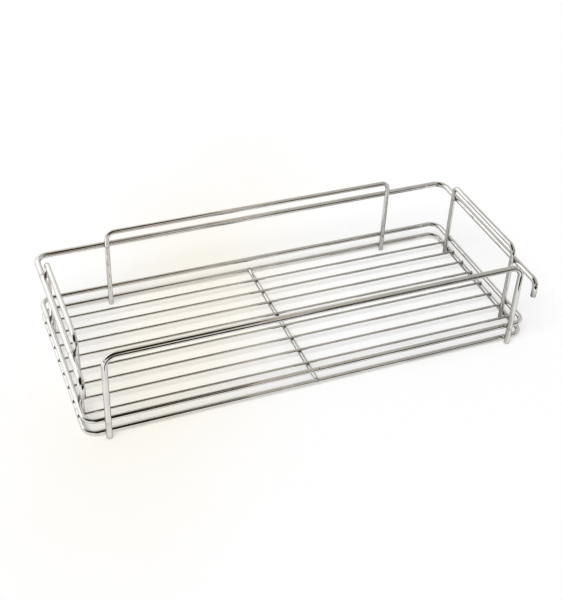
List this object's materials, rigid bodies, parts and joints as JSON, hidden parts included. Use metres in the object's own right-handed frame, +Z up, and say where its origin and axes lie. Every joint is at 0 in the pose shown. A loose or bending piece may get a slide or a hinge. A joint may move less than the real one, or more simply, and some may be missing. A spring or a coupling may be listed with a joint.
{
  "type": "pull out cabinet basket",
  "caption": "Shallow rectangular basket of welded chrome wire, with raised guard hoops and a rail that ends in two hooks, to hang in a kitchen cabinet pull-out.",
  "frame": {"origin": "under the middle of the whole basket, on the surface that its leg ends stand on", "axes": "+X along the basket, +Y towards the rail's long side (the back), +Z up"},
  "size_m": [0.482, 0.2116, 0.103],
  "materials": {
    "rim_wire": "bright chrome plate",
    "rail_wire": "bright chrome plate",
    "hoop_wire": "bright chrome plate",
    "floor_wire": "bright chrome plate"
  },
  "bodies": {
    "root": {"lower_rim": "rim_wire", "upper_rim": "rim_wire", "top_rail": "rail_wire", "front_hoop": "rail_wire", "back_hoop": "hoop_wire", "left_hoop": "hoop_wire", "right_hoop": "hoop_wire", "cross_bar": "floor_wire", "floor_wire_1": "floor_wire", "floor_wire_2": "floor_wire", "floor_wire_3": "floor_wire", "floor_wire_4": "floor_wire", "floor_wire_5": "floor_wire", "floor_wire_6": "floor_wire", "floor_wire_7": "floor_wire", "floor_wire_8": "floor_wire"}
  },
  "joints": []
}
